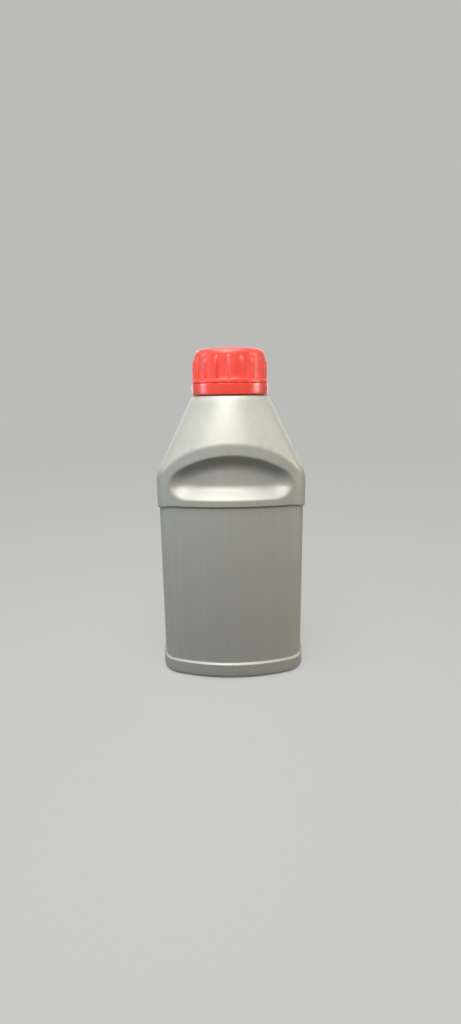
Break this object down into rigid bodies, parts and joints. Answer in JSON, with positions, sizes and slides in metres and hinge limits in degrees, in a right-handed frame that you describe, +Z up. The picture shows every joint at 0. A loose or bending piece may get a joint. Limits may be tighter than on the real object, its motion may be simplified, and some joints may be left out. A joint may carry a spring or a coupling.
{
  "type": "hydraulic oil bottle",
  "caption": "Oval blow-moulded oil bottle with sunk label panels, arched grip recesses and a ribbed screw cap over a tear-off band.",
  "frame": {"origin": "middle of the foot, on the plane the bottle stands on", "axes": "+Z up along the neck, +Y through the back face, +X to the right seen from the front"},
  "size_m": [0.0824, 0.057, 0.1788],
  "materials": {
    "bottle": "pearl silver polyethylene, satin",
    "cap": "red polypropylene, satin gloss",
    "liner": "white foamed polyethylene"
  },
  "bodies": {
    "bottle": {"bottle": "bottle", "tamper_band": "cap"},
    "liner": {"liner": "liner"},
    "cap": {"cap": "cap"}
  },
  "joints": [
    {"name": "cap_lift", "type": "slide", "parent": "bottle", "child": "liner", "axis": [0, 0, 1], "range_m": [0, 0.024]},
    {"name": "cap_turn", "type": "hinge", "parent": "liner", "child": "cap", "pos_m": [0, 0, 0.17], "axis": [0, 0, 1], "range_deg": [0, 2160]}
  ],
  "couplings": [
    {"joint": "cap_lift", "follows": "cap_turn", "m_per_rad": 0.00063662}
  ]
}
